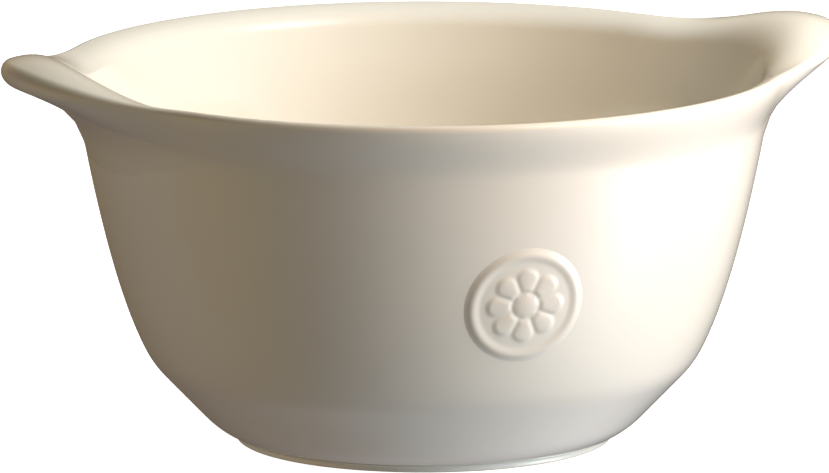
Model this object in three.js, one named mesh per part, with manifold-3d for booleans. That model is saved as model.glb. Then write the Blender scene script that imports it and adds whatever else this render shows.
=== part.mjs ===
// Handled soup bowl in glazed stoneware.
// A clay bowl stands on a bare foot ring. Two ears are luted to bevelled seats in its lip, a rosette is
// sprigged on its front, and coats of glaze cover everything but the foot.
// Millimetres, +Z up. The origin is the middle of the foot's resting face, the ears lie along X and the
// rosette faces -Y. Sizes of the form are those of the finished, glazed surfaces, and angles are degrees.

import * as THREE from 'three';
import { mergeVertices } from 'three/addons/utils/BufferGeometryUtils.js';
import Module from 'manifold-3d';

const wasm = await Module();
wasm.setup();

// Lip between the ears
const LIP_RADIUS = 72.5;            // outer edge of the lip
const LIP_HEIGHT = 75.3;            // crest of the lip
const LIP_ROUND = 1.2;              // radius of its rolled edge
const LIP_DEPTH = 11.6;             // from the crest down to the top of the plain wall
const LIP_OVERHANG = 4.6;           // from the top of the plain wall out to the lip's edge
const LIP_THROAT = 4.2;             // from the crest down to the foot of the lip's inner slope
const LIP_WIDTH = 6.6;              // from the lip's edge in to the foot of its inner slope
const LIP_UNDER_ANGLE = -10;        // place on the rolled edge where the underside runs into it
const LIP_OVER_ANGLE = 104;         // place on the rolled edge where the inner slope leaves it
const LIP_THROAT_ANGLE = -108;      // way that the inside falls at the foot of the lip's slope

// Ears, drawn out of the lip at both ends of the X axis
const EAR_REACH = 13.75;            // tip beyond the lip's edge
const EAR_RISE = 2;                 // middle of the tip's rolled edge above the lip's crest
const EAR_ROUND = 2.6;              // radius of the tip's rolled edge
const EAR_THROAT = 1.6;             // from the lip's crest down to the foot of the ear's slope
const EAR_HOLLOW = 3.2;             // how far the inside is drawn out behind an ear
const EAR_HALF_ANGLE = 32.6;        // from an ear's middle to where its pull dies out
const EAR_RISE_HALF_ANGLE = 27.9;   // from an ear's middle to where its rise dies out
const EAR_FULLNESS = 0.96;          // above 1 the ears are more pointed in plan
const EAR_UNDER_ANGLE = -67;        // place on the rolled edge where the underside runs into it
const EAR_OVER_ANGLE = 71;          // place on the rolled edge where the top leaves it
const EAR_THROAT_ANGLE = -105;      // way that the inside falls at the foot of the ear's slope

// Eases: how far a curve of the lip or the ears keeps the direction of its neighbour
const LIP_WALL_EASE = 3.3;
const LIP_UNDER_EASE = 3.3;
const LIP_TOP_EASE = 3.4;
const LIP_THROAT_EASE = 1.4;
const EAR_WALL_EASE = 4.4;
const EAR_UNDER_EASE = 3.4;
const EAR_TOP_EASE = 10.3;
const EAR_THROAT_EASE = 2;

// Bevelled seat that an ear is luted to
const SEAT_OUTSET = 0.7;            // middle of the seat outside the lip's edge
const SEAT_DROP = 3.9;              // middle of the seat below the lip's crest
const SEAT_TILT = 43;               // how far the seat faces upwards
const SEAT_SHOULDER = 10;           // from the seat's end to the end of the ear's pull

// Wall, keel, belly and floor
const WALL = 4.8;                   // thickness with its glaze
const WALL_SWELL = 3.5;             // how far the wall's curve is drawn beyond a straight line
const SWELL_PLACE = 0.318;          // share of the wall's height at which it is drawn out
const HOLLOW_END = 0.1;             // share of the wall's curve, from its top, where an ear's hollow ends
const KEEL_RADIUS = 54.1;           // bend between the wall and the belly
const KEEL_HEIGHT = 16.1;
const KEEL_EASE = 2.6;              // length of the bend to each side
const BELLY_STEP = 4.1;             // from the foot's side out to the bend under the belly
const BELLY_HEIGHT = 2.8;
const BELLY_EASE = 4;               // length of that bend along the belly
const FLOOR_HEIGHT = 8;             // inside floor above the table
const FLOOR_RADIUS = 30;            // flat part of the inside floor

// Foot ring and the recess inside it
const FOOT_RADIUS = 37.3;
const FOOT_WIDTH = 5;
const FOOT_HEIGHT = 1.5;            // side of the ring that shows below the belly
const FOOT_STEP = 0.9;              // from the foot's side out to the edge of the glaze
const FOOT_FILLET = 0.9;            // height of the hollow below that edge
const FOOT_TENON = 2;               // length of the ring inside its groove
const FOOT_EDGE = 0.5;              // worn edges of the resting face
const RECESS_HEIGHT = 1.5;          // glazed underside above the table

// Rosette: a disc with a raised ring and a flower in it. Each relief stands proud of the glaze.
const ROSETTE_HEIGHT = 37.7;        // its middle above the table
const ROSETTE_RADIUS = 11.5;
const FIELD_RELIEF = 0.12;          // ground between ring and flower
const RING_WIDTH = 1.7;
const RING_RELIEF = 0.4;
const PETALS = 8;
const PETAL_RADIUS = 7.9;           // to the tips of the petals
const PETAL_NOTCH = 1.7;            // depth of the notches between the petals
const PETAL_RELIEF = 0.4;
const EYE_RADIUS = 2.4;
const EYE_RELIEF = 0.5;

// Coats and fits
const GLAZE = 0.4;                  // thickness of a coat of glaze
const COAT_SEAM = 50;               // place on the rolled edge where the two coats of glaze meet
const CLEARANCE = 0.3;              // bed between glaze and clay, and between luted pieces
const CLAY_DEPTH = GLAZE + CLEARANCE;

// Facets
const STATIONS = 48;                // steps round the bowl
const FINE_STATIONS = 144;          // steps round the bowl for the rosette's curved face
const CROWDING = 0.4;               // how much closer together the steps are at the ears

const vector = (x, y) => new THREE.Vector2(x, y);
const radians = THREE.MathUtils.degToRad;
const unit = (from, to) => to.clone().sub(from).normalize();
const along = (from, direction, length) => from.clone().addScaledVector(direction, length);
const heading = (angle) => vector(Math.cos(angle), Math.sin(angle));

// A sample of the bowl's outline: a point (radius, height) and the way out of the clay there.
// The outline runs up the outside, over the lip and down the inside.
function sample(curve, t, offset = 0) {
  const tangent = curve.getTangent(t);
  const out = vector(tangent.y, -tangent.x);
  return { at: along(curve.getPoint(t), out, offset), out };
}

// Samples of a curve from t = first up to, but not including, its end
function trace(curve, steps, { first = 0, offset = 0 } = {}) {
  const samples = [];
  for (let step = 0; step < steps; step += 1) {
    samples.push(sample(curve, first + ((1 - first) * step) / steps, offset));
  }
  return samples;
}

// Corners of the outside, and the curves that ease them
const footEdge = vector(FOOT_RADIUS + FOOT_STEP, FOOT_HEIGHT);
const bellyBend = vector(FOOT_RADIUS + BELLY_STEP, BELLY_HEIGHT);
const keel = vector(KEEL_RADIUS, KEEL_HEIGHT);
const wallTop = vector(LIP_RADIUS - LIP_OVERHANG, LIP_HEIGHT - LIP_DEPTH);
const swell = keel.clone().lerp(wallTop, SWELL_PLACE).add(vector(WALL_SWELL, 0));
const bellyTop = along(bellyBend, unit(bellyBend, keel), BELLY_EASE);
const keelBottom = along(keel, unit(keel, bellyBend), KEEL_EASE);
const keelTop = along(keel, unit(keel, swell), KEEL_EASE);

const bellyCurve = new THREE.QuadraticBezierCurve(footEdge, bellyBend, bellyTop);
const bellySlope = new THREE.LineCurve(bellyTop, keelBottom);
const keelCurve = new THREE.QuadraticBezierCurve(keelBottom, keel, keelTop);
const wallCurve = new THREE.QuadraticBezierCurve(keelTop, swell, wallTop);
const wallDown = new THREE.QuadraticBezierCurve(wallTop, swell, keelTop);

// Inside: the wall's inner face lies WALL inside the outer one and rounds into a flat floor
const hollowEnd = sample(wallDown, HOLLOW_END, WALL).at;
const innerKeel = sample(wallDown, 1, WALL).at;
const innerFall = wallDown.getTangent(1);
const floorBend = along(innerKeel, innerFall, (FLOOR_HEIGHT - innerKeel.y) / innerFall.y);
const floorEdge = vector(FLOOR_RADIUS, FLOOR_HEIGHT);
const floorCurve = new THREE.QuadraticBezierCurve(innerKeel, floorBend, floorEdge);
const floorLine = new THREE.LineCurve(floorEdge, vector(0, FLOOR_HEIGHT));

// The plain lip and an ear at its middle: the same curves with other sizes
const wallFall = wallDown.getTangent(0);
const throatRadius = LIP_RADIUS - LIP_WIDTH;
const plainLip = {
  round: LIP_ROUND,
  centre: vector(LIP_RADIUS - LIP_ROUND, LIP_HEIGHT - LIP_ROUND),
  under: radians(LIP_UNDER_ANGLE),
  over: radians(LIP_OVER_ANGLE),
  wallEase: LIP_WALL_EASE,
  underEase: LIP_UNDER_EASE,
  topEase: LIP_TOP_EASE,
  throat: vector(throatRadius, LIP_HEIGHT - LIP_THROAT),
  throatFall: heading(radians(LIP_THROAT_ANGLE)),
  throatEase: LIP_THROAT_EASE,
};
const earLip = {
  round: EAR_ROUND,
  centre: vector(LIP_RADIUS + EAR_REACH - EAR_ROUND, LIP_HEIGHT + EAR_RISE),
  under: radians(EAR_UNDER_ANGLE),
  over: radians(EAR_OVER_ANGLE),
  wallEase: EAR_WALL_EASE,
  underEase: EAR_UNDER_EASE,
  topEase: EAR_TOP_EASE,
  throat: vector(throatRadius + EAR_HOLLOW, LIP_HEIGHT - EAR_THROAT),
  throatFall: heading(radians(EAR_THROAT_ANGLE)),
  throatEase: EAR_THROAT_EASE,
};

// Part of a rolled edge between two angles
function rolledEdge({ centre, round }, from, to) {
  return new THREE.EllipseCurve(centre.x, centre.y, round, round, from, to);
}

// Half the gap between the two coats of glaze, as an angle on a rolled edge
const seamGap = ({ round }) => CLEARANCE / 2 / round;

// Underside and rolled edge, from the wall's top to the seam of the coats
function lipOutside(lip) {
  const foot = along(lip.centre, heading(lip.under), lip.round);
  const arrival = heading(lip.under + Math.PI / 2);
  const underside = new THREE.CubicBezierCurve(
    wallTop,
    along(wallTop, wallFall, -lip.wallEase),
    along(foot, arrival, -lip.underEase),
    foot,
  );
  const roll = rolledEdge(lip, lip.under, radians(COAT_SEAM) - seamGap(lip));
  return [...trace(underside, 5), ...trace(roll, 3), sample(roll, 1)];
}

// Rolled edge, inner slope and hollow, from the seam of the coats to the plain inner wall
function lipInside(lip) {
  const crest = along(lip.centre, heading(lip.over), lip.round);
  const departure = heading(lip.over + Math.PI / 2);
  const roll = rolledEdge(lip, radians(COAT_SEAM) + seamGap(lip), lip.over);
  const slope = new THREE.CubicBezierCurve(
    crest,
    along(crest, departure, lip.topEase),
    along(lip.throat, lip.throatFall, -lip.throatEase),
    lip.throat,
  );
  const hollowEase = (lip.throat.y - hollowEnd.y) / 3;
  const hollow = new THREE.CubicBezierCurve(
    lip.throat,
    along(lip.throat, lip.throatFall, hollowEase),
    along(hollowEnd, wallFall, -hollowEase),
    hollowEnd,
  );
  return [...trace(roll, 2), ...trace(slope, 5), ...trace(hollow, 2)];
}

// The whole outline in two parts, each sample with its place on the plain lip and on an ear
const pair = (plain, ear) => plain.map((one, index) => ({ plain: one, ear: ear[index] }));
const still = (samples) => pair(samples, samples);
const outside = [
  ...still(trace(bellyCurve, 2)),
  ...still(trace(bellySlope, 1)),
  ...still(trace(keelCurve, 2)),
  ...still(trace(wallCurve, 5)),
  ...pair(lipOutside(plainLip), lipOutside(earLip)),
];
const inside = [
  ...pair(lipInside(plainLip), lipInside(earLip)),
  ...still(trace(wallDown, 3, { first: HOLLOW_END, offset: WALL })),
  ...still(trace(floorCurve, 3)),
  ...still(trace(floorLine, 1)),
  ...still([sample(floorLine, 1)]),
];

// Points of an outline at a depth below the glazed surface
function inset(samples, depth) {
  return samples.map(({ plain, ear }) => ({
    plain: along(plain.at, plain.out, -depth),
    ear: along(ear.at, ear.out, -depth),
  }));
}

// Points of a profile that is the same all the way round
const turned = (...corners) => corners.map(([x, y]) => ({ plain: vector(x, y), ear: vector(x, y) }));

// How much of an ear's form the lip has at an angle: 1 at an ear's middle, 0 between the ears
function bell(angle, halfAngle) {
  const away = Math.abs(Math.atan2(Math.sin(2 * angle), Math.cos(2 * angle))) / 2;
  const share = Math.min(away / radians(halfAngle), 1);
  return ((1 + Math.cos(Math.PI * share)) / 2) ** EAR_FULLNESS;
}

// Turns a profile about Z, drawing it out into the two ears
function revolve(profile, stations = STATIONS) {
  const geometry = new THREE.LatheGeometry(profile.map(({ plain }) => plain), stations);
  const position = geometry.attributes.position;
  for (let index = 0; index < position.count; index += 1) {
    const station = Math.floor(index / profile.length) % stations;
    const turn = (station / stations) * 2 * Math.PI;
    const angle = turn - (CROWDING / 2) * Math.sin(2 * turn);
    const { plain, ear } = profile[index % profile.length];
    const radius = THREE.MathUtils.lerp(plain.x, ear.x, bell(angle, EAR_HALF_ANGLE));
    const height = THREE.MathUtils.lerp(plain.y, ear.y, bell(angle, EAR_RISE_HALF_ANGLE));
    position.setXYZ(index, radius * Math.cos(angle), radius * Math.sin(angle), height);
  }
  return geometry;
}

const revolveRing = (profile, stations) => revolve([...profile, profile[0]], stations);

// Solids for cutting and joining
function toSolid(geometry) {
  const bare = geometry.clone();
  bare.deleteAttribute('normal');
  bare.deleteAttribute('uv');
  const merged = mergeVertices(bare);
  const triangles = [];
  for (let first = 0; first < merged.index.count; first += 3) {
    const [a, b, c] = [0, 1, 2].map((corner) => merged.index.getX(first + corner));
    if (a !== b && b !== c && c !== a) triangles.push(a, b, c);
  }
  const mesh = new wasm.Mesh({
    numProp: 3,
    vertProperties: Float32Array.from(merged.attributes.position.array),
    triVerts: Uint32Array.from(triangles),
  });
  return new wasm.Manifold(mesh);
}

function toGeometry(solid) {
  const { vertProperties, triVerts } = solid.getMesh();
  const geometry = new THREE.BufferGeometry();
  geometry.setAttribute('position', new THREE.BufferAttribute(vertProperties, 3));
  geometry.setIndex(new THREE.BufferAttribute(triVerts, 1));
  return geometry;
}

// Groove under the bowl that takes the foot ring's tenon
const groove = {
  inner: FOOT_RADIUS - FOOT_WIDTH - CLEARANCE,
  outer: FOOT_RADIUS + CLEARANCE,
  top: FOOT_HEIGHT + FOOT_TENON + CLEARANCE,
  base: RECESS_HEIGHT + CLAY_DEPTH,
};

// Clay of the bowl and its ears in one
function clayForm() {
  const clayOutside = inset(outside, CLAY_DEPTH);
  const underside = turned(
    [0, groove.base],
    [groove.inner, groove.base],
    [groove.inner, groove.top],
    [groove.outer, groove.top],
    [groove.outer, clayOutside[0].plain.y],
  );
  return toSolid(revolve([...underside, ...clayOutside, ...inset(inside, CLAY_DEPTH)]));
}

// Everything that belongs to an ear: outside a bevel turned about Z, within a wedge about X
function earSpace(side, clearance) {
  const span = 2 * EAR_REACH;
  const facing = heading(radians(SEAT_TILT));
  const down = vector(facing.y, -facing.x);
  const middle = along(vector(LIP_RADIUS + SEAT_OUTSET, LIP_HEIGHT - SEAT_DROP), facing, clearance);
  const low = along(middle, down, span);
  const high = along(middle, down, -span);
  const corners = [low, along(low, facing, span), along(high, facing, span), high];
  const bevel = revolveRing(turned(...corners.map((corner) => corner.toArray())));

  const halfAngle = radians(EAR_HALF_ANGLE - SEAT_SHOULDER);
  const apex = clearance / Math.sin(halfAngle);
  const reach = 2 * (LIP_RADIUS + EAR_REACH);
  const plan = new THREE.Shape([
    vector(apex, 0),
    vector(apex + reach, -reach * Math.tan(halfAngle)),
    vector(apex + reach, reach * Math.tan(halfAngle)),
  ]);
  const wedge = new THREE.ExtrudeGeometry(plan, { depth: 2 * LIP_HEIGHT, bevelEnabled: false });
  if (side < 0) wedge.rotateZ(Math.PI);
  return toSolid(bevel).intersect(toSolid(wedge));
}

// Outline of the flower: each petal is an arc through two notches and a tip
function petalOutline() {
  const halfStep = Math.PI / PETALS;
  const notch = PETAL_RADIUS - PETAL_NOTCH;
  const middle = (PETAL_RADIUS ** 2 - notch ** 2) / (2 * (PETAL_RADIUS - notch * Math.cos(halfStep)));
  const sweep = heading(halfStep).multiplyScalar(notch).sub(vector(middle, 0)).angle();
  const shape = new THREE.Shape();
  for (let petal = 0; petal < PETALS; petal += 1) {
    const turn = 2 * halfStep * petal;
    const { x, y } = heading(turn).multiplyScalar(middle);
    shape.absarc(x, y, PETAL_RADIUS - middle, turn - sweep, turn + sweep, false);
  }
  return shape;
}

// A prism with the given outline, square to the wall at the rosette's middle
function stamp(outline, curveSegments) {
  const prism = new THREE.ExtrudeGeometry(outline, {
    depth: 2 * WALL,
    bevelEnabled: false,
    curveSegments,
  });
  prism.translate(0, 0, -WALL);
  const wallPoints = wallCurve.getPoints(200);
  const above = wallPoints.findIndex((point) => point.y >= ROSETTE_HEIGHT);
  const middle = wallPoints[above];
  const lean = unit(wallPoints[above - 1], middle);
  const across = new THREE.Vector3(1, 0, 0);
  const up = new THREE.Vector3(0, -lean.x, lean.y);
  const out = new THREE.Vector3().crossVectors(across, up);
  const place = new THREE.Matrix4().makeBasis(across, up, out);
  place.setPosition(0, -middle.x, middle.y);
  prism.applyMatrix4(place);
  return toSolid(prism);
}

// A round prism there
function disc(radius) {
  return stamp(new THREE.Shape().absarc(0, 0, radius, 0, 2 * Math.PI, false), 24);
}

// Rosette: field, ring, petals and eye, cut from layers that follow the wall
function rosetteForm() {
  const wall = still([...trace(wallCurve, 5), sample(wallCurve, 1)]);
  const layer = (relief) => {
    const profile = [...inset(wall, -relief), ...inset(wall, GLAZE).reverse()];
    return toSolid(revolveRing(profile, FINE_STATIONS));
  };
  const field = disc(ROSETTE_RADIUS).intersect(layer(FIELD_RELIEF));
  const band = disc(ROSETTE_RADIUS).subtract(disc(ROSETTE_RADIUS - RING_WIDTH));
  const ring = band.intersect(layer(RING_RELIEF));
  const petals = stamp(petalOutline(), 5).intersect(layer(PETAL_RELIEF));
  const eye = disc(EYE_RADIUS).intersect(layer(EYE_RELIEF));
  return field.add(ring).add(petals).add(eye);
}

// Coats of glaze
function outerCoat() {
  const coat = revolveRing([...inset(outside, 0), ...inset(outside, GLAZE).reverse()]);
  return toSolid(coat).subtract(disc(ROSETTE_RADIUS + CLEARANCE));
}

function innerCoat() {
  return revolve([...inset(inside, GLAZE).reverse(), ...inset(inside, 0)]);
}

function baseCoat() {
  return revolve(turned(
    [0, RECESS_HEIGHT],
    [groove.inner, RECESS_HEIGHT],
    [groove.inner, RECESS_HEIGHT + GLAZE],
    [0, RECESS_HEIGHT + GLAZE],
  ));
}

// Foot ring: a flat resting face with worn edges, a hollow up to the glaze, and a tenon in its groove
function footRing() {
  const inner = FOOT_RADIUS - FOOT_WIDTH;
  const top = FOOT_HEIGHT + FOOT_TENON;
  const hollow = new THREE.QuadraticBezierCurve(
    vector(FOOT_RADIUS, FOOT_HEIGHT - FOOT_FILLET),
    vector(FOOT_RADIUS, FOOT_HEIGHT),
    vector(FOOT_RADIUS + FOOT_STEP - CLEARANCE, FOOT_HEIGHT),
  );
  return revolveRing(turned(
    [inner + FOOT_EDGE, 0],
    [FOOT_RADIUS - FOOT_EDGE, 0],
    [FOOT_RADIUS, FOOT_EDGE],
    ...hollow.getPoints(4).map((point) => point.toArray()),
    [FOOT_RADIUS, FOOT_HEIGHT + CLEARANCE],
    [FOOT_RADIUS, top],
    [inner, top],
    [inner, FOOT_EDGE],
  ));
}

// Finishes
const CLAY = { color: 0xd8c5a6, roughness: 0.85, metalness: 0 };
const IVORY = { color: 0xece6d6, roughness: 0.18, metalness: 0 };

const bowl = new THREE.Group();
bowl.name = 'soup_bowl';

function addPiece(name, geometry, finish) {
  geometry.computeVertexNormals();
  const mesh = new THREE.Mesh(geometry, new THREE.MeshStandardMaterial(finish));
  mesh.name = name;
  bowl.add(mesh);
}

const clay = clayForm();
const seats = earSpace(1, 0).add(earSpace(-1, 0));
addPiece('bowl_body', toGeometry(clay.subtract(seats)), CLAY);
addPiece('right_ear', toGeometry(clay.intersect(earSpace(1, CLEARANCE))), CLAY);
addPiece('left_ear', toGeometry(clay.intersect(earSpace(-1, CLEARANCE))), CLAY);
addPiece('foot_ring', footRing(), CLAY);
addPiece('rosette', toGeometry(rosetteForm()), IVORY);
addPiece('outer_glaze', toGeometry(outerCoat()), IVORY);
addPiece('inner_glaze', innerCoat(), IVORY);
addPiece('base_glaze', baseCoat(), IVORY);

export default bowl;
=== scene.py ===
"""Handled soup bowl in ivory glazed stoneware: its glaze, foot, rosette, studio and camera.

Metres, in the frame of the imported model: the ears lie along X, the rosette faces -Y and the bowl
stands on Z = 0. Sizes of the form are millimetres, as in the part's source, until a mesh is made.
"""

import logging
import math
from dataclasses import dataclass
from enum import Enum
from typing import Any, Callable, Optional, Sequence, Union

import bmesh
import bpy
from mathutils import Matrix, Vector


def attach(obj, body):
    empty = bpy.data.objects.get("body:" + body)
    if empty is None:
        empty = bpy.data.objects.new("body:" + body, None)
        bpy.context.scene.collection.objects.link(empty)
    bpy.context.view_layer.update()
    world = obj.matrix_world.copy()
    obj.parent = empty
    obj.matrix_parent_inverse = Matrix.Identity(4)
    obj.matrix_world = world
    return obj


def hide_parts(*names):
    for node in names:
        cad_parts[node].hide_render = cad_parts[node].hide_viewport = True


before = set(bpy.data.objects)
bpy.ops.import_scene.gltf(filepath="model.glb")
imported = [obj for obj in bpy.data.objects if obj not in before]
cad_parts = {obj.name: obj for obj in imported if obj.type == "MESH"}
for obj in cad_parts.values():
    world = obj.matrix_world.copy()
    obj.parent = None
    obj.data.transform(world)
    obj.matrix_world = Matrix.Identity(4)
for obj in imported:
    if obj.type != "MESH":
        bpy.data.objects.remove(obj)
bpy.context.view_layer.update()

MM = 0.001
WELD = 1e-7
HALVINGS = 40
LOG = logging.getLogger("soup_bowl")


class Slot(Enum):
    """Material slots of the record."""

    CLAY = "clay"
    FOOT = "foot_clay"
    GLAZE = "ivory_glaze"


# Curves of the bowl's outline

@dataclass(frozen=True)
class Bezier:
    """Bezier curve of any degree in the plane of radius and height."""

    points: tuple[Vector, ...]

    def at(self, share: float) -> Vector:
        """Give the point at a share of the curve."""
        level = list(self.points)
        while len(level) > 1:
            level = [first.lerp(second, share) for first, second in zip(level, level[1:])]
        return level[0]

    def heading(self, share: float) -> Vector:
        """Give the direction of travel at a share of the curve."""
        steps = zip(self.points, self.points[1:])
        return Bezier(tuple(second - first for first, second in steps)).at(share).normalized()


@dataclass(frozen=True)
class Arc:
    """Part of a circle in the plane of radius and height, with its angles in radians."""

    centre: Vector
    radius: float
    start: float
    end: float

    def at(self, share: float) -> Vector:
        """Give the point at a share of the arc."""
        return self.centre + self.radius * compass(self.start + (self.end - self.start) * share)

    def heading(self, share: float) -> Vector:
        """Give the direction of travel at a share of the arc."""
        return compass(self.start + (self.end - self.start) * share + math.pi / 2)


Curve = Union[Bezier, Arc, "Offset"]


def compass(angle: float) -> Vector:
    """Give the unit vector at an angle in radians."""
    return Vector((math.cos(angle), math.sin(angle)))


def outward(heading: Vector) -> Vector:
    """Give the way out of the clay for an outline that runs up the outside of the bowl."""
    return Vector((heading.y, -heading.x))


def smooth_step(value: float) -> float:
    """Ease a share from 0 to 1, with a level start and end."""
    share = min(max(value, 0.0), 1.0)
    return share * share * (3 - 2 * share)


@dataclass
class Sample:
    """A point of the outline between the ears and at an ear's middle.

    Attributes:
        plain: Point between the ears, as radius and height.
        plain_out: Way out of the clay there.
        ear: The same point of the outline at an ear's middle.
        ear_out: Way out of the clay there.
        thin: How thin the glaze runs there, from 0 to 1.
    """

    plain: Vector
    plain_out: Vector
    ear: Vector
    ear_out: Vector
    thin: float = 0.0

    def inset(self, depth: float) -> "Sample":
        """Give the sample at a depth below the glazed surface."""
        return Sample(
            self.plain - self.plain_out * depth,
            self.plain_out,
            self.ear - self.ear_out * depth,
            self.ear_out,
            self.thin,
        )


def trace(plain: Curve, ear: Curve, steps: int, thin: Callable[[float], float]) -> list[Sample]:
    """Sample a stretch of the outline, without its end.

    Args:
        plain: Stretch between the ears.
        ear: The same stretch at an ear's middle.
        steps: Number of samples.
        thin: How thin the glaze runs at a share of the stretch.

    Returns:
        The samples in order.
    """
    samples = []
    for step in range(steps):
        share = step / steps
        samples.append(Sample(
            plain.at(share), outward(plain.heading(share)),
            ear.at(share), outward(ear.heading(share)),
            thin(share),
        ))
    return samples


def even(level: float) -> Callable[[float], float]:
    """Give a thinness that is the same along a whole stretch."""
    return lambda share: level


def ramp(start: float, end: float) -> Callable[[float], float]:
    """Give a thinness that eases from one level to another."""
    return lambda share: start + (end - start) * smooth_step(share)


def hump(base: float, top: float) -> Callable[[float], float]:
    """Give a thinness that rises to the middle of a stretch and falls again."""
    return lambda share: base + (top - base) * math.sin(math.pi * share) ** 2


@dataclass(frozen=True)
class Lip:
    """Lip at one angle: a rolled edge with its underside and its inner slope."""

    centre: Vector
    round: float
    under: float
    over: float
    wall_ease: float
    under_ease: float
    top_ease: float
    throat: Vector
    throat_fall: Vector
    throat_ease: float

    def underside(self, wall_top: Vector, wall_fall: Vector) -> Bezier:
        """Give the curve from the wall's top out to the rolled edge."""
        foot = self.centre + self.round * compass(self.under)
        arrival = compass(self.under + math.pi / 2)
        return Bezier((
            wall_top, wall_top - wall_fall * self.wall_ease,
            foot - arrival * self.under_ease, foot,
        ))

    def rolled_edge(self) -> Arc:
        """Give the rolled edge from the underside to the inner slope."""
        return Arc(self.centre, self.round, self.under, self.over)

    def slope(self) -> Bezier:
        """Give the inner slope from the rolled edge down to the throat."""
        crest = self.centre + self.round * compass(self.over)
        departure = compass(self.over + math.pi / 2)
        return Bezier((
            crest, crest + departure * self.top_ease,
            self.throat - self.throat_fall * self.throat_ease, self.throat,
        ))

    def hollow(self, end: Vector, wall_fall: Vector) -> Bezier:
        """Give the curve from the throat down to the plain inner wall."""
        ease = (self.throat.y - end.y) / 3
        return Bezier((
            self.throat, self.throat + self.throat_fall * ease, end - wall_fall * ease, end,
        ))


@dataclass(frozen=True)
class Offset:
    """A curve moved out of the clay by a distance, and cut to a stretch of it."""

    base: Bezier
    distance: float
    first: float
    last: float

    def share(self, share: float) -> float:
        """Give the share of the base curve for a share of this one."""
        return self.first + (self.last - self.first) * share

    def at(self, share: float) -> Vector:
        """Give the point at a share of the curve."""
        place = self.share(share)
        return self.base.at(place) + outward(self.base.heading(place)) * self.distance

    def heading(self, share: float) -> Vector:
        """Give the direction of travel at a share of the curve."""
        return self.base.heading(self.share(share))


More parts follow.
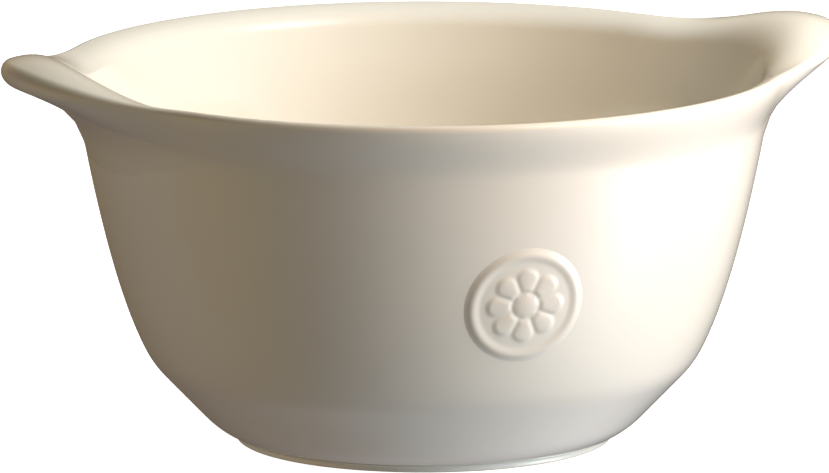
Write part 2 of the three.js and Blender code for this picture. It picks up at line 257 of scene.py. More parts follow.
@dataclass(frozen=True)
class BowlForm:
    """Sizes of the bowl's glazed surfaces, in millimetres and degrees, and its outline.

    The fields that end in samples count the points of a stretch of the outline, and those that end in
    thin say how thin the glaze runs there, from 0 to 1.
    """

    lip_radius: float = 72.5
    lip_height: float = 75.3
    lip_round: float = 1.2
    lip_depth: float = 11.6
    lip_overhang: float = 4.6
    lip_throat: float = 4.2
    lip_width: float = 6.6
    lip_under_angle: float = -10
    lip_over_angle: float = 104
    lip_throat_angle: float = -108
    lip_wall_ease: float = 3.3
    lip_under_ease: float = 3.3
    lip_top_ease: float = 3.4
    lip_throat_ease: float = 1.4
    ear_reach: float = 13.75
    ear_rise: float = 2
    ear_round: float = 2.6
    ear_throat: float = 1.6
    ear_hollow: float = 3.2
    ear_half_angle: float = 32.6
    ear_rise_half_angle: float = 27.9
    ear_fullness: float = 0.96
    ear_under_angle: float = -67
    ear_over_angle: float = 71
    ear_throat_angle: float = -105
    ear_wall_ease: float = 4.4
    ear_under_ease: float = 3.4
    ear_top_ease: float = 10.3
    ear_throat_ease: float = 2
    wall: float = 4.8
    wall_swell: float = 3.5
    swell_place: float = 0.318
    hollow_end: float = 0.1
    keel_radius: float = 54.1
    keel_height: float = 16.1
    keel_ease: float = 2.6
    belly_step: float = 4.1
    belly_height: float = 2.8
    belly_ease: float = 4
    floor_height: float = 8
    floor_radius: float = 30
    foot_radius: float = 37.3
    foot_width: float = 5
    foot_height: float = 1.5
    foot_step: float = 0.9
    foot_fillet: float = 0.9
    foot_tenon: float = 2
    foot_edge: float = 0.5
    recess_height: float = 1.5
    glaze: float = 0.4
    clearance: float = 0.3
    bend_samples: int = 6
    wall_samples: int = 16
    under_samples: int = 10
    lip_samples: int = 12
    hollow_samples: int = 4
    inner_samples: int = 12
    curve_samples: int = 10
    floor_samples: int = 6
    foot_thin: float = 0.7
    keel_thin: float = 0.3
    edge_thin: float = 1

    @property
    def foot_glaze(self) -> Vector:
        """Edge of the glaze above the foot."""
        return Vector((self.foot_radius + self.foot_step, self.foot_height))

    @property
    def belly_bend(self) -> Vector:
        """Bend under the belly."""
        return Vector((self.foot_radius + self.belly_step, self.belly_height))

    @property
    def keel(self) -> Vector:
        """Bend between the belly and the wall."""
        return Vector((self.keel_radius, self.keel_height))

    @property
    def wall_top(self) -> Vector:
        """Top of the plain wall, where the lip begins."""
        return Vector((self.lip_radius - self.lip_overhang, self.lip_height - self.lip_depth))

    @property
    def swell(self) -> Vector:
        """Point that draws the wall's curve out."""
        return self.keel.lerp(self.wall_top, self.swell_place) + Vector((self.wall_swell, 0))

    def wall_curve(self) -> Bezier:
        """Give the wall from the keel up to the lip."""
        keel_top = self.keel + (self.swell - self.keel).normalized() * self.keel_ease
        return Bezier((keel_top, self.swell, self.wall_top))

    def outside(self) -> list[Sample]:
        """Sample the outside from the foot's glaze up to the wall's top."""
        rise = (self.keel - self.belly_bend).normalized()
        belly_top = self.belly_bend + rise * self.belly_ease
        keel_bottom = self.keel - rise * self.keel_ease
        wall = self.wall_curve()
        belly = Bezier((self.foot_glaze, self.belly_bend, belly_top))
        slope = Bezier((belly_top, keel_bottom))
        keel = Bezier((keel_bottom, self.keel, wall.points[0]))
        return [
            *trace(belly, belly, self.bend_samples, ramp(self.foot_thin, 0)),
            *trace(slope, slope, self.bend_samples, even(0)),
            *trace(keel, keel, self.bend_samples, hump(0, self.keel_thin)),
            *trace(wall, wall, self.wall_samples, even(0)),
        ]

    def lips(self) -> tuple[Lip, Lip]:
        """Give the lip between the ears and the lip at an ear's middle."""
        throat_radius = self.lip_radius - self.lip_width
        plain = Lip(
            centre=Vector((self.lip_radius - self.lip_round, self.lip_height - self.lip_round)),
            round=self.lip_round,
            under=math.radians(self.lip_under_angle),
            over=math.radians(self.lip_over_angle),
            wall_ease=self.lip_wall_ease,
            under_ease=self.lip_under_ease,
            top_ease=self.lip_top_ease,
            throat=Vector((throat_radius, self.lip_height - self.lip_throat)),
            throat_fall=compass(math.radians(self.lip_throat_angle)),
            throat_ease=self.lip_throat_ease,
        )
        ear_middle = self.lip_radius + self.ear_reach - self.ear_round
        ear = Lip(
            centre=Vector((ear_middle, self.lip_height + self.ear_rise)),
            round=self.ear_round,
            under=math.radians(self.ear_under_angle),
            over=math.radians(self.ear_over_angle),
            wall_ease=self.ear_wall_ease,
            under_ease=self.ear_under_ease,
            top_ease=self.ear_top_ease,
            throat=Vector((throat_radius + self.ear_hollow, self.lip_height - self.ear_throat)),
            throat_fall=compass(math.radians(self.ear_throat_angle)),
            throat_ease=self.ear_throat_ease,
        )
        return plain, ear

    def lip_and_inside(self) -> list[Sample]:
        """Sample the lip, the inner wall and the floor, in to the axis."""
        wall_down = Bezier(self.wall_curve().points[::-1])
        fall = wall_down.heading(0)
        inner_wall = Offset(wall_down, self.wall, self.hollow_end, 1)
        inner_keel, inner_fall = inner_wall.at(1), wall_down.heading(1)
        drop = (self.floor_height - inner_keel.y) / inner_fall.y
        floor_edge = Vector((self.floor_radius, self.floor_height))
        floor_curve = Bezier((inner_keel, inner_keel + inner_fall * drop, floor_edge))
        floor = Bezier((floor_edge, Vector((0, self.floor_height))))
        plain, ear = self.lips()
        top, end = self.wall_top, inner_wall.at(0)
        samples = [
            *trace(plain.underside(top, fall), ear.underside(top, fall), self.under_samples, even(0)),
            *trace(plain.rolled_edge(), ear.rolled_edge(), self.lip_samples, hump(0, self.edge_thin)),
            *trace(plain.slope(), ear.slope(), self.lip_samples, even(0)),
            *trace(plain.hollow(end, fall), ear.hollow(end, fall), self.hollow_samples, even(0)),
            *trace(inner_wall, inner_wall, self.inner_samples, even(0)),
            *trace(floor_curve, floor_curve, self.curve_samples, even(0)),
            *trace(floor, floor, self.floor_samples, even(0)),
        ]
        middle = floor.points[-1]
        samples.append(Sample(middle, Vector((0, 1)), middle, Vector((0, 1))))
        return samples

    def share_of_ear(self, angle: float, half_angle: float) -> float:
        """Give how much of an ear's form the lip has at an angle round the bowl.

        Args:
            angle: Angle about Z, in radians.
            half_angle: Degrees from an ear's middle to where it dies out.

        Returns:
            1 at an ear's middle and 0 between the ears.
        """
        away = abs(math.atan2(math.sin(2 * angle), math.cos(2 * angle))) / 2
        share = min(away / math.radians(half_angle), 1)
        return ((1 + math.cos(math.pi * share)) / 2) ** self.ear_fullness


# Finishes

Feed = Union["Value", bpy.types.NodeSocket, float, Sequence[float]]


class Value:
    """A number in a set of nodes, so that their maths reads as an expression."""

    def __init__(self, nodes: "Nodes", socket: bpy.types.NodeSocket) -> None:
        """Wrap a node's output socket."""
        self.nodes = nodes
        self.socket = socket

    def maths(self, operation: str, first: Feed, second: Feed) -> "Value":
        """Add a Math node.

        Args:
            operation: The node's operation.
            first: First operand.
            second: Second operand.

        Returns:
            The node's result.
        """
        node = self.nodes.node("ShaderNodeMath", {"operation": operation}, {0: first, 1: second})
        return Value(self.nodes, node.outputs[0])

    def __add__(self, other: Feed) -> "Value":
        """Add a value."""
        return self.maths("ADD", self, other)

    def __radd__(self, other: Feed) -> "Value":
        """Add to a number."""
        return self.maths("ADD", other, self)

    def __sub__(self, other: Feed) -> "Value":
        """Take a value away."""
        return self.maths("SUBTRACT", self, other)

    def __rsub__(self, other: Feed) -> "Value":
        """Take from a number."""
        return self.maths("SUBTRACT", other, self)

    def __mul__(self, other: Feed) -> "Value":
        """Multiply by a value."""
        return self.maths("MULTIPLY", self, other)

    def __rmul__(self, other: Feed) -> "Value":
        """Multiply a number."""
        return self.maths("MULTIPLY", other, self)

    def __pow__(self, other: Feed) -> "Value":
        """Raise to a power."""
        return self.maths("POWER", self, other)

    def __rpow__(self, other: Feed) -> "Value":
        """Raise a number to this power."""
        return self.maths("POWER", other, self)


class Nodes:
    """Nodes of a material or of the world."""

    def __init__(self, owner: Union[bpy.types.Material, bpy.types.World]) -> None:
        """Start with no nodes."""
        owner.use_nodes = True
        self.tree = owner.node_tree
        self.tree.nodes.clear()

    def node(
        self,
        kind: str,
        settings: Optional[dict[str, Any]] = None,
        sockets: Optional[dict[Union[str, int], Feed]] = None,
    ) -> bpy.types.Node:
        """Add a node.

        Args:
            kind: The node's type.
            settings: Its properties, which are set first.
            sockets: Values or links of its inputs, by name or number.

        Returns:
            The node.
        """
        node = self.tree.nodes.new(kind)
        for name, setting in (settings or {}).items():
            setattr(node, name, setting)
        for key, feed in (sockets or {}).items():
            if isinstance(feed, Value):
                feed = feed.socket
            if isinstance(feed, bpy.types.NodeSocket):
                self.tree.links.new(feed, node.inputs[key])
            else:
                node.inputs[key].default_value = feed
        return node


class Shader(Nodes):
    """Nodes of one procedural material."""

    def __init__(self, name: str) -> None:
        """Start an empty material."""
        self.material = bpy.data.materials.new(name)
        super().__init__(self.material)
        self.place = self.node("ShaderNodeTexCoord").outputs["Object"]

    def noise(self, size: float, detail: float, rough: float = 0.5) -> Value:
        """Give soft cloudy noise about 0.5, with features of a size in metres."""
        node = self.node("ShaderNodeTexNoise", {"noise_dimensions": "3D"}, {
            "Vector": self.place, "Scale": 1 / size, "Detail": detail, "Roughness": rough,
        })
        return Value(self, node.outputs[0])

    def spots(self, spacing: float) -> Value:
        """Give the distance to the nearest of scattered points, in units of their spacing."""
        node = self.node("ShaderNodeTexVoronoi", {"feature": "F1"}, {
            "Vector": self.place, "Scale": 1 / spacing, "Randomness": 1.0,
        })
        return Value(self, node.outputs["Distance"])

    def band(self, value: Value, low: float, high: float) -> Value:
        """Ease a value to 0 at low and 1 at high."""
        node = self.node("ShaderNodeMapRange", {"interpolation_type": "SMOOTHSTEP"}, {
            "Value": value, "From Min": low, "From Max": high,
        })
        return Value(self, node.outputs[0])

    def attribute(self, name: str) -> Value:
        """Give a number that a piece's points carry."""
        node = self.node("ShaderNodeAttribute", {"attribute_name": name})
        return Value(self, node.outputs["Fac"])

    def blend(self, share: Feed, first: Feed, second: Feed) -> bpy.types.NodeSocket:
        """Mix two colours.

        Args:
            share: Share of the second colour.
            first: Colour at 0.
            second: Colour at 1.

        Returns:
            The mixed colour.
        """
        node = self.node("ShaderNodeMix", {"data_type": "RGBA"}, {0: share, 6: first, 7: second})
        return node.outputs[2]

    def bump(self, height: Value, depth: float) -> bpy.types.NodeSocket:
        """Give the normal of a relief whose heights run from 0 to 1 over a depth in metres."""
        node = self.node("ShaderNodeBump", None, {
            "Height": height, "Distance": depth, "Strength": 1.0,
        })
        return node.outputs["Normal"]

    def surface(self, **sockets: Feed) -> bpy.types.Material:
        """Close the material with a Principled shader.

        Args:
            sockets: Values of its inputs, with underscores for spaces.

        Returns:
            The finished material.
        """
        feeds = {name.replace("_", " "): feed for name, feed in sockets.items()}
        shader = self.node("ShaderNodeBsdfPrincipled", None, feeds)
        self.node("ShaderNodeOutputMaterial", None, {"Surface": shader.outputs[0]})
        return self.material


@dataclass(frozen=True)
class IvoryGlaze:
    """Glossy ivory glaze with pinholes and a faint ripple, thinner and warmer over edges."""

    name: str = "ivory_glaze"
    ivory: tuple[float, ...] = (0.90, 0.84, 0.715, 1)
    pooled: tuple[float, ...] = (0.89, 0.83, 0.70, 1)
    edge: tuple[float, ...] = (0.80, 0.66, 0.50, 1)
    edge_share: float = 0.35
    cloud_size: float = 0.045
    cloud_band: tuple[float, float] = (0.35, 0.65)
    ripple_size: float = 0.011
    ripple_depth: float = 0.00006
    peel_size: float = 0.0016
    peel_share: float = 0.05
    pit_spacing: float = 0.0125
    pit_radius: float = 0.016
    pit_depth: float = 0.35
    pit_tint: float = 0.12
    roughness: float = 0.11
    thin_roughness: float = 0.04
    refraction: float = 1.52
    coat: float = 0.35
    coat_roughness: float = 0.04

    def make(self) -> bpy.types.Material:
        """Make the material."""
        shader = Shader(self.name)
        cloud = shader.noise(self.cloud_size, 2)
        ripple = shader.noise(self.ripple_size, 1)
        peel = shader.noise(self.peel_size, 2)
        pits = 1 - shader.band(shader.spots(self.pit_spacing), 0, self.pit_radius)
        thin = shader.attribute("thin")
        base = shader.blend(shader.band(cloud, *self.cloud_band), self.ivory, self.pooled)
        rubbed = thin * (0.6 + 0.8 * cloud) * self.edge_share
        colour = shader.blend(rubbed + pits * self.pit_tint, base, self.edge)
        relief = ripple + peel * self.peel_share - pits * self.pit_depth
        return shader.surface(
            Base_Color=colour,
            Roughness=self.roughness + (peel - 0.5) * self.peel_share + thin * self.thin_roughness,
            Normal=shader.bump(relief, self.ripple_depth),
            IOR=self.refraction,
            Coat_Weight=self.coat,
            Coat_Roughness=self.coat_roughness,
        )


@dataclass(frozen=True)
class BuffClay:
    """Fired buff stoneware, bare and a little gritty."""

    name: str = "buff_clay"
    clay: tuple[float, ...] = (0.60, 0.48, 0.33, 1)
    dark: tuple[float, ...] = (0.45, 0.34, 0.22, 1)
    grit: tuple[float, ...] = (0.30, 0.20, 0.12, 1)
    cloud_size: float = 0.02
    cloud_band: tuple[float, float] = (0.3, 0.7)
    grain_size: float = 0.0006
    grain_depth: float = 0.00012
    grit_spacing: float = 0.003
    grit_band: tuple[float, float] = (0.04, 0.12)
    grit_tint: float = 0.6
    grit_height: float = 0.5
    roughness: float = 0.78
    grain_roughness: float = 0.18

    def make(self) -> bpy.types.Material:
        """Make the material."""
        shader = Shader(self.name)
        cloud = shader.noise(self.cloud_size, 3)
        grain = shader.noise(self.grain_size, 3, 0.7)
        grit = 1 - shader.band(shader.spots(self.grit_spacing), *self.grit_band)
        body = shader.blend(shader.band(cloud, *self.cloud_band), self.clay, self.dark)
        colour = shader.blend(grit * self.grit_tint, body, self.grit)
        return shader.surface(
            Base_Color=colour,
            Roughness=self.roughness + grain * self.grain_roughness,
            Normal=shader.bump(grain + grit * self.grit_height, self.grain_depth),
        )


@dataclass(frozen=True)
class FootFinish:
    """Foot with ivory glaze down its outer side and bare, rubbed clay where it rests."""

    form: BowlForm
    glaze: IvoryGlaze
    name: str = "foot_clay"
    clay: tuple[float, ...] = (0.64, 0.54, 0.40, 1)
    dark: tuple[float, ...] = (0.50, 0.40, 0.28, 1)
    cloud_size: float = 0.012
    cloud_band: tuple[float, float] = (0.3, 0.7)
    grain_size: float = 0.0006
    grain_depth: float = 0.0001
    line_height: float = 0.0001
    line_soft: float = 0.0002
    wander_size: float = 0.004
    wander: float = 0.0002
    rim_soft: float = 0.002
    roughness: float = 0.8
    glazed_roughness: float = 0.14

    def make(self) -> bpy.types.Material:
        """Make the material."""
        shader = Shader(self.name)
        split = shader.node("ShaderNodeSeparateXYZ", None, {0: shader.place})
        east, north, height = (Value(shader, split.outputs[axis]) for axis in "XYZ")
        radius = (east * east + north * north) ** 0.5
        wander = (shader.noise(self.wander_size, 2) - 0.5) * self.wander
        above = shader.band(height + wander, self.line_height, self.line_height + self.line_soft)
        rim = (self.form.foot_radius - self.form.foot_width / 2) * MM
        glazed = above * shader.band(radius, rim, rim + self.rim_soft)
        cloud = shader.noise(self.cloud_size, 3)
        grain = shader.noise(self.grain_size, 3, 0.7)
        bare = shader.blend(shader.band(cloud, *self.cloud_band), self.clay, self.dark)
        return shader.surface(
            Base_Color=shader.blend(glazed, bare, self.glaze.ivory),
            Roughness=self.roughness - glazed * (self.roughness - self.glazed_roughness),
            Normal=shader.bump(grain * (1 - glazed), self.grain_depth),
            IOR=self.glaze.refraction,
            Coat_Weight=glazed * self.glaze.coat,
            Coat_Roughness=self.glaze.coat_roughness,
        )


# Pieces

def finished_piece(
    mesh: bmesh.types.BMesh, name: str, finish: bpy.types.Material, levels: int
) -> bpy.types.Object:
    """Make an object of a finished bmesh.

    Args:
        mesh: The mesh, which is freed.
        name: Name of the piece.
        finish: Its material.
        levels: Levels of its subdivision surface, or 0 for none.

    Returns:
        The piece.
    """
    for face in mesh.faces:
        face.smooth = True
    data = bpy.data.meshes.new(name)
    mesh.to_mesh(data)
    mesh.free()
    data.materials.append(finish)
    piece = bpy.data.objects.new(name, data)
    bpy.context.scene.collection.objects.link(piece)
    if levels:
        modifier = piece.modifiers.new("smooth_form", "SUBSURF")
        modifier.levels = modifier.render_levels = levels
    return piece


def spun(
    mesh: bmesh.types.BMesh,
    corners: Sequence[bmesh.types.BMVert],
    steps: int,
    closed: bool = False,
) -> None:
    """Turn a section about Z into a closed form.

    Args:
        mesh: The bmesh that holds the section.
        corners: The section's vertices in order.
        steps: Steps of the full turn.
        closed: True where the section is a closed loop.
    """
    ends = [*corners[1:], corners[0]] if closed else corners[1:]
    edges = [mesh.edges.new(pair) for pair in zip(corners, ends)]
    bmesh.ops.spin(
        mesh, geom=[*corners, *edges], cent=(0, 0, 0), axis=(0, 0, 1), dvec=(0, 0, 0),
        angle=2 * math.pi, steps=steps, use_merge=True,
    )
    bmesh.ops.remove_doubles(mesh, verts=mesh.verts[:], dist=WELD)
    bmesh.ops.recalc_face_normals(mesh, faces=mesh.faces[:])


@dataclass
class GlazedBowl:
    """Glaze over the bowl's outside, its ears, its lip and its inside, in one seamless coat.

    Attributes:
        form: Sizes of the bowl.
        stations: Sections round the bowl.
        crowding: How much closer the sections stand at the ears, from 0 to 1.
        backing_step: Every how many points of the outline the coat's back has one.
        levels: Levels of its subdivision surface.
    """

    form: BowlForm
    stations: int = 120
    crowding: float = 0.3
    backing_step: int = 4
    levels: int = 1

    def build(self, finish: bpy.types.Material) -> bpy.types.Object:
        """Model the coat.

        Args:
            finish: Its material.

        Returns:
            The piece.
        """
        face = [*self.form.outside(), *self.form.lip_and_inside()]
        kept = [*face[:-1:self.backing_step], face[-1]]
        back = [sample.inset(self.form.glaze) for sample in kept]
        mesh = bmesh.new()
        ear = mesh.verts.layers.float_vector.new("ear")
        thin = mesh.verts.layers.float.new("thin")
        corners = []
        for sample in [*back[::-1], *face]:
            corner = mesh.verts.new((sample.plain.x * MM, 0, sample.plain.y * MM))
            corner[ear] = (sample.ear.x * MM, 0, sample.ear.y * MM)
            corner[thin] = sample.thin
            corners.append(corner)
        spun(mesh, corners, self.stations)
        self.draw_ears(mesh, ear)
        mesh.verts.layers.float_vector.remove(ear)
        return finished_piece(mesh, "glaze_coat", finish, self.levels)

    def draw_ears(self, mesh: bmesh.types.BMesh, ear: bmesh.types.BMLayerItem) -> None:
        """Draw the two ears out of the turned lip.

        Args:
            mesh: The turned coat.
            ear: Layer with each vertex's radius and height at an ear's middle.
        """
        form = self.form
        for vertex in mesh.verts:
            radius = math.hypot(vertex.co.x, vertex.co.y)
            if radius < WELD:
                continue
            turn = math.atan2(vertex.co.y, vertex.co.x)
            angle = turn - self.crowding / 2 * math.sin(2 * turn)
            target = vertex[ear]
            out = form.share_of_ear(angle, form.ear_half_angle)
            rise = form.share_of_ear(angle, form.ear_rise_half_angle)
            radius += (target.x - radius) * out
            height = vertex.co.z + (target.z - vertex.co.z) * rise
            vertex.co = (radius * math.cos(angle), radius * math.sin(angle), height)

    def dress(self, glaze: bpy.types.Material) -> list[bpy.types.Object]:
        """Build the coat, seat it in the frame and give the clay under it its finish.

        Args:
            glaze: The coat's material.

        Returns:
            The coat and the nodes of clay under it.
        """
        coat = self.build(glaze)
        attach(coat, "root")
        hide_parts("outer_glaze", "inner_glaze")
        clay = BuffClay().make()
        hidden = [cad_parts[name] for name in ("bowl_body", "right_ear", "left_ear")]
        for node in hidden:
            node.data.materials.clear()
            node.data.materials.append(clay)
        return [coat, *hidden]


@dataclass
class Rosette:
    """Sprigged rosette, a flower of eight petals in a ring, under the same glaze as the wall.

    Lengths are millimetres. The reliefs are heights above the wall, and sunk is how far the rosette's
    border lies below it.
    """

    form: BowlForm
    height: float = 37.7
    radius: float = 11.5
    field_relief: float = 0.12
    ring_width: float = 1.7
    ring_relief: float = 0.4
    petals: int = 8
    petal_radius: float = 7.9
    petal_notch: float = 1.7
    petal_relief: float = 0.4
    eye_radius: float = 2.4
    eye_relief: float = 0.5
    sunk: float = 0.06
    bevel: float = 1.2
    bevel_spread: float = 0.35
    groove: float = 0.55
    groove_depth: float = 0.62
    crown: float = 0.14
    moat_place: float = 0.4
    moat: float = 0.5
    moat_depth: float = 0.8
    eye_spread: float = 0.15
    eye_fullness: float = 0.55
    thin: float = 0.35
    rings: int = 42
    spokes: int = 144
    levels: int = 1

    def relief_at(self, east: float, up: float) -> tuple[float, float]:
        """Give the rosette's relief at a point of its face.

        Args:
            east: Millimetres to the right of its middle.
            up: Millimetres above its middle.

        Returns:
            Height above the wall in millimetres, and how thin the glaze runs there.
        """
        reach = math.hypot(east, up)
        half_step = math.pi / self.petals
        angle = math.atan2(up, east)
        turn = abs((angle + half_step) % (2 * half_step) - half_step)
        along, across = reach * math.cos(turn), reach * math.sin(turn)

        valley = self.petal_radius - self.petal_notch
        middle = (self.petal_radius ** 2 - valley ** 2) / (
            2 * (self.petal_radius - valley * math.cos(half_step)))
        lobe = self.petal_radius - middle
        inside = lobe - math.hypot(max(along - middle, 0), across)
        seam = reach * math.sin(half_step - turn)
        edge = smooth_step((inside + self.bevel_spread) / self.bevel)
        between = 1 - self.groove_depth * math.exp(-(seam / self.groove) ** 2)
        crown = 1 - self.crown + self.crown * math.cos(math.pi * min(across / lobe, 1))
        from_moat = reach - self.eye_radius - self.moat_place
        moat = 1 - self.moat_depth * math.exp(-(from_moat / self.moat) ** 2)
        petal = (self.petal_relief - self.field_relief) * edge * between * crown * moat
        dome = max(1 - (reach / (self.eye_radius + self.eye_spread)) ** 2, 0) ** self.eye_fullness
        eye = (self.eye_relief - self.field_relief) * dome

        crest = self.radius - self.ring_width / 2
        ground = self.field_relief if reach < crest else -self.sunk
        aside = min(abs(reach - crest) / self.ring_width, 1)
        ring = (self.ring_relief - ground) * math.cos(math.pi / 2 * aside) ** 2
        top = ground + max(petal, eye, ring)
        return top, smooth_step(top / self.ring_relief) * self.thin

    def wall_at(self, height: float) -> tuple[Vector, Vector]:
        """Give the wall's point and its way out at a height."""
        wall = self.form.wall_curve()
        low, high = 0.0, 1.0
        for _ in range(HALVINGS):
            share = (low + high) / 2
            if wall.at(share).y < height:
                low = share
            else:
                high = share
        return wall.at(low), outward(wall.heading(low))

    def build(self, finish: bpy.types.Material) -> bpy.types.Object:
        """Model the rosette.

        Args:
            finish: Its material.

        Returns:
            The piece.
        """
        mesh = bmesh.new()
        thin = mesh.verts.layers.float.new("thin")
        reach = self.radius + self.ring_width / 2
        corners = [mesh.verts.new((reach * ring / self.rings, 0, 0))
                   for ring in range(self.rings + 1)]
        spun(mesh, corners, self.spokes)
        middle, lean = self.wall_at(self.height)
        upward = Vector((-lean.y, lean.x))
        for vertex in mesh.verts:
            east, up = vertex.co.x, vertex.co.y
            relief, vertex[thin] = self.relief_at(east, up)
            point, out = self.wall_at(self.height + up * upward.y)
            angle = east / point.x
            place = point + out * relief
            vertex.co = Vector((
                place.x * math.sin(angle), -place.x * math.cos(angle), place.y)) * MM
        bmesh.ops.recalc_face_normals(mesh, faces=mesh.faces[:])
        front = max(mesh.faces, key=lambda face: face.calc_area())
        if front.normal.y > 0:
            bmesh.ops.reverse_faces(mesh, faces=mesh.faces[:])
        bmesh.ops.solidify(mesh, geom=mesh.faces[:], thickness=self.form.glaze * MM)
        return finished_piece(mesh, "rosette_relief", finish, self.levels)

    def dress(self, glaze: bpy.types.Material) -> list[bpy.types.Object]:
        """Build the rosette and seat it in the frame.

        Args:
            glaze: Its material.

        Returns:
            The rosette alone.
        """
        piece = self.build(glaze)
        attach(piece, "root")
        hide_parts("rosette")
        return [piece]


@dataclass
class Foot:
    """Turned foot ring, and the glazed recess inside it.

    Attributes:
        form: Sizes of the bowl.
        steps: Sections round the ring.
        edge_segments: Faces across a rounded edge.
        hollow_steps: Faces across the hollow below the glaze.
        sharp: Least angle of an edge that is rounded, in radians.
        meniscus: Size of the curve by which the recess's glaze meets the ring, in millimetres.
        creep: Widths of that size over which the curve spreads.
        creep_rise: How far it has risen one width before the ring, in millimetres.
    """

    form: BowlForm
    steps: int = 144
    edge_segments: int = 4
    hollow_steps: int = 8
    sharp: float = 0.5
    meniscus: float = 0.35
    creep: float = 4
    creep_rise: float = 0.04

    def ring(self, finish: bpy.types.Material) -> bpy.types.Object:
        """Model the ring with rounded edges round its resting face and a hollow up to the glaze.

        Args:
            finish: Its material.

        Returns:
            The piece.
        """
        form = self.form
        inner, top = form.foot_radius - form.foot_width, form.foot_height + form.foot_tenon
        start = Vector((form.foot_radius, form.foot_height - form.foot_fillet))
        corner = Vector((form.foot_radius, form.foot_height))
        hollow = Bezier((start, corner, form.foot_glaze))
        section = [(inner, 0), (form.foot_radius, 0),
                   *(hollow.at(step / self.hollow_steps) for step in range(self.hollow_steps + 1)),
                   (form.foot_radius, form.foot_height + form.clearance),
                   (form.foot_radius, top), (inner, top)]
        mesh = bmesh.new()
        corners = [mesh.verts.new((radius * MM, 0, height * MM)) for radius, height in section]
        spun(mesh, corners, self.steps, closed=True)
        sharp = [edge for edge in mesh.edges if edge.calc_face_angle() > self.sharp]
        low = [edge for edge in sharp if edge.verts[0].co.z < WELD]
        bmesh.ops.bevel(
            mesh, geom=low, offset=form.foot_edge * MM, offset_type="OFFSET", affect="EDGES",
            segments=self.edge_segments, profile=0.5, material=-1,
        )
        return finished_piece(mesh, "foot_ring_turned", finish, 0)

    def recess(self, finish: bpy.types.Material) -> bpy.types.Object:
        """Model the glaze in the recess, which creeps up a little where it meets the ring.

        Args:
            finish: Its material.

        Returns:
            The piece.
        """
        form = self.form
        edge = form.foot_radius - form.foot_width - form.clearance
        low, high = form.recess_height, form.recess_height + form.glaze
        flat = edge - self.meniscus * self.creep
        under = [(flat * share, low) for share in (0, 0.25, 0.5, 0.75, 1)]
        curve = [(edge - self.meniscus, low + self.creep_rise), (edge, low + self.meniscus / 2)]
        back = [(edge * share, high) for share in (1, 0.7, 0.35, 0)]
        section = [*under, *curve, *back]
        mesh = bmesh.new()
        corners = [mesh.verts.new((radius * MM, 0, height * MM)) for radius, height in section]
        spun(mesh, corners, self.steps)
        return finished_piece(mesh, "recess_glaze", finish, 0)

    def dress(self, glaze: bpy.types.Material) -> list[bpy.types.Object]:
        """Build the ring and the recess and seat them in the frame.

        Args:
            glaze: Material of the recess.

        Returns:
            The ring and the recess.
        """
        ring = self.ring(FootFinish(self.form, IvoryGlaze()).make())
        recess = self.recess(glaze)
        for piece, node, slot in (
            (ring, "foot_ring", Slot.FOOT), (recess, "base_glaze", Slot.GLAZE),
        ):
            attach(piece, "root")
            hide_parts(node)
        return [ring, recess]


# Studio

@dataclass(frozen=True)
class Viewpoint:
    """Camera at the photograph's viewing angle, in degrees, millimetres and pixels."""

    turn: float = 18.45
    elevation: float = 10.7
    roll: float = -0.05
    distance: float = 2796
    pixels_per_mm: float = 5.043
    target: tuple[float, float, float] = (-1.718, 0.573, 40.2)
    image_width: float = 829
    sensor: float = 36
    clip: tuple[float, float] = (0.1, 50)

    def axes(self) -> tuple[Vector, Vector]:
        """Give the level directions to the right of the view and away from it."""
        turn = math.radians(self.turn)
        right = Vector((math.cos(turn), -math.sin(turn), 0))
        return right, Vector((math.sin(turn), math.cos(turn), 0))

    def from_view(self, right: float, near: float, up: float) -> Vector:
        """Give the point at distances to the right of the bowl, towards the viewer and up."""
        across, away = self.axes()
        return across * right - away * near + Vector((0, 0, up))

    def make(self) -> bpy.types.Object:
        """Make the camera and use it."""
        tilt = math.radians(self.elevation)
        right, away = self.axes()
        level_up = Vector((0, 0, 1))
        forward = away * math.cos(tilt) - level_up * math.sin(tilt)
        up = away * math.sin(tilt) + level_up * math.cos(tilt)
        data = bpy.data.cameras.new("viewpoint")
        data.sensor_fit = "HORIZONTAL"
        data.sensor_width = self.sensor
        data.lens = self.pixels_per_mm * self.distance / self.image_width * self.sensor
        data.clip_start, data.clip_end = self.clip
        camera = bpy.data.objects.new("viewpoint", data)
        turned = Matrix((right, up, -forward)).transposed().to_4x4()
        rolled = Matrix.Rotation(math.radians(self.roll), 4, "Z")
        place = (Vector(self.target) - forward * self.distance) * MM
        camera.matrix_world = Matrix.Translation(place) @ turned @ rolled
        bpy.context.scene.collection.objects.link(camera)
        bpy.context.scene.camera = camera
        return camera


@dataclass(frozen=True)
class Lobe:
    """Soft patch of light in the surroundings.

    Attributes:
        azimuth: Degrees round the bowl, to the right of the camera.
        elevation: Degrees above the table.
        sharpness: How fast the light fades away from the patch's middle.
        light: Red, green and blue at its middle.
    """

    azimuth: float
    elevation: float
    sharpness: float
    light: tuple[float, float, float]

    def glow(self, nodes: Nodes, way: bpy.types.NodeSocket, view: Viewpoint) -> bpy.types.NodeSocket:
        """Add the patch's light along a direction.

        Args:
            nodes: The world's nodes.
            way: The direction.
            view: The camera's place, which the azimuth is counted from.

        Returns:
            The light.
        """
        turn, tilt = math.radians(self.azimuth), math.radians(self.elevation)
        middle = view.from_view(
            math.sin(turn) * math.cos(tilt), math.cos(turn) * math.cos(tilt), math.sin(tilt))
        nearness = nodes.node("ShaderNodeVectorMath", {"operation": "DOT_PRODUCT"},
                              {0: way, 1: middle})
        fade = Value(nodes, nearness.outputs["Value"]) - 1
        level = math.e ** (fade * self.sharpness)
        scaled = nodes.node("ShaderNodeVectorMath", {"operation": "SCALE"},
                            {0: self.light, "Scale": level})
        return scaled.outputs[0]


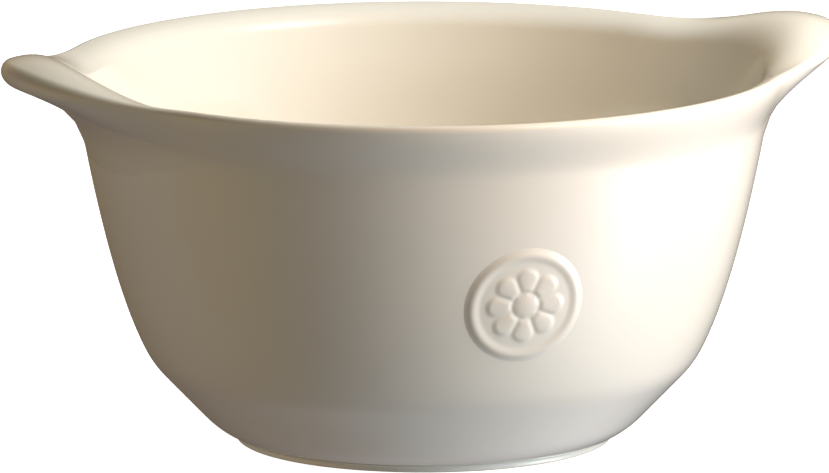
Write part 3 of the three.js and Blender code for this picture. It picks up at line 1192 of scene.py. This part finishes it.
@dataclass(frozen=True)
class Lamp:
    """Soft disc of light near the bowl, which neither the glaze nor the camera shows.

    Attributes:
        place: Metres to the right of the bowl, towards the viewer and up.
        light: Red, green and blue of its power in watts.
        size: Its diameter in metres.
        aim: Height of the place on the bowl's axis that it faces, in metres.
    """

    place: tuple[float, float, float]
    light: tuple[float, float, float]
    size: float = 0.2
    aim: float = 0.06

    def make(self, view: Viewpoint) -> bpy.types.Object:
        """Set up the lamp.

        Args:
            view: The camera's place, which the lamp's place is counted from.

        Returns:
            The lamp.
        """
        place = view.from_view(*self.place)
        data = bpy.data.lights.new("near_lamp", "AREA")
        data.shape, data.size = "DISK", self.size
        data.energy = max(self.light)
        data.color = [part / data.energy for part in self.light]
        lamp = bpy.data.objects.new("near_lamp", data)
        turned = (Vector((0, 0, self.aim)) - place).to_track_quat("-Z", "Y")
        lamp.matrix_world = Matrix.Translation(place) @ turned.to_matrix().to_4x4()
        lamp.visible_glossy = False
        lamp.visible_camera = False
        bpy.context.scene.collection.objects.link(lamp)
        return lamp


@dataclass
class Studio:
    """White floor and soft light: a low key and two lamps on the right, one behind, and dim surroundings."""

    view: Viewpoint
    lobes: tuple[Lobe, ...] = (
        Lobe(80, -12, 40, (7.4, 9.15, 7.75)),
        Lobe(72, -15, 8, (1.49, 1.7, 2.5)),
        Lobe(60, 48, 40, (5.4, 5.55, 5.2)),
        Lobe(-162, 20, 8, (0.53, 0.39, 0.22)),
        Lobe(-108, -15, 8, (0.3, 0.3, 0.4)),
        Lobe(-72, -15, 8, (0.855, 0.69, 0.37)),
        Lobe(135, -50, 8, (0.78, 0.68, 0.745)),
    )
    lamps: tuple[Lamp, ...] = (
        Lamp((0.24, -0.05, 0.36), (1.015, 1.15, 1.275)),
        Lamp((0.20, 0.12, 0.16), (0.46, 0.34, 0.26)),
        Lamp((0, -0.9, -0.1), (4.2, 4.35, 4.55)),
    )
    floor_radius: float = 12
    floor_sides: int = 96
    floor_pale: tuple[float, ...] = (0.93, 0.93, 0.92, 1)
    floor_white: tuple[float, ...] = (0.95, 0.95, 0.95, 1)
    floor_cloud: float = 0.6
    floor_roughness: float = 0.9
    floor_glow: float = 0.92
    wall_white: tuple[float, ...] = (1, 1, 1, 1)

    def floor(self) -> bpy.types.Object:
        """Lay the white floor, which the camera sees and the bowl's glaze doesn't."""
        mesh = bmesh.new()
        bmesh.ops.create_circle(
            mesh, cap_ends=True, segments=self.floor_sides, radius=self.floor_radius)
        shader = Shader("white_floor")
        tone = shader.blend(shader.noise(self.floor_cloud, 2), self.floor_pale, self.floor_white)
        finish = shader.surface(
            Base_Color=tone, Roughness=self.floor_roughness, Specular_IOR_Level=0.0,
            Emission_Color=self.wall_white, Emission_Strength=self.floor_glow)
        piece = finished_piece(mesh, "floor", finish, 0)
        piece.visible_diffuse = False
        piece.visible_glossy = False
        piece.visible_shadow = False
        return piece

    def surroundings(self) -> None:
        """Fill the room with the lobes' light, and let its walls look white beyond the floor."""
        world = bpy.data.worlds.new("studio")
        nodes = Nodes(world)
        way = nodes.node("ShaderNodeTexCoord").outputs["Generated"]
        light, *others = [lobe.glow(nodes, way, self.view) for lobe in self.lobes]
        for other in others:
            both = nodes.node("ShaderNodeVectorMath", {"operation": "ADD"}, {0: light, 1: other})
            light = both.outputs[0]
        seen = nodes.node("ShaderNodeLightPath").outputs["Is Camera Ray"]
        shown = nodes.node("ShaderNodeMix", {"data_type": "RGBA"}, {0: seen, 6: light, 7: self.wall_white})
        background = nodes.node("ShaderNodeBackground", None, {"Color": shown.outputs[2]})
        nodes.node("ShaderNodeOutputWorld", None, {"Surface": background.outputs[0]})
        bpy.context.scene.world = world

    def make(self) -> None:
        """Set up floor, light and colours."""
        self.floor()
        self.surroundings()
        for lamp in self.lamps:
            lamp.make(self.view)
        bpy.context.scene.view_settings.view_transform = "Standard"
        bpy.context.scene.view_settings.look = "None"


def main() -> None:
    """Build the bowl and its studio."""
    logging.basicConfig(level=logging.INFO, format="%(name)s: %(message)s")
    form = BowlForm()
    view = Viewpoint()
    view.make()
    Studio(view).make()
    glaze = IvoryGlaze().make()
    for piece in [
        *GlazedBowl(form).dress(glaze), *Rosette(form).dress(glaze), *Foot(form).dress(glaze),
    ]:
        LOG.info("%s: %d faces, %s", piece.name, len(piece.data.polygons),
                 piece.data.materials[0].name)


if __name__ == "__main__":
    main()
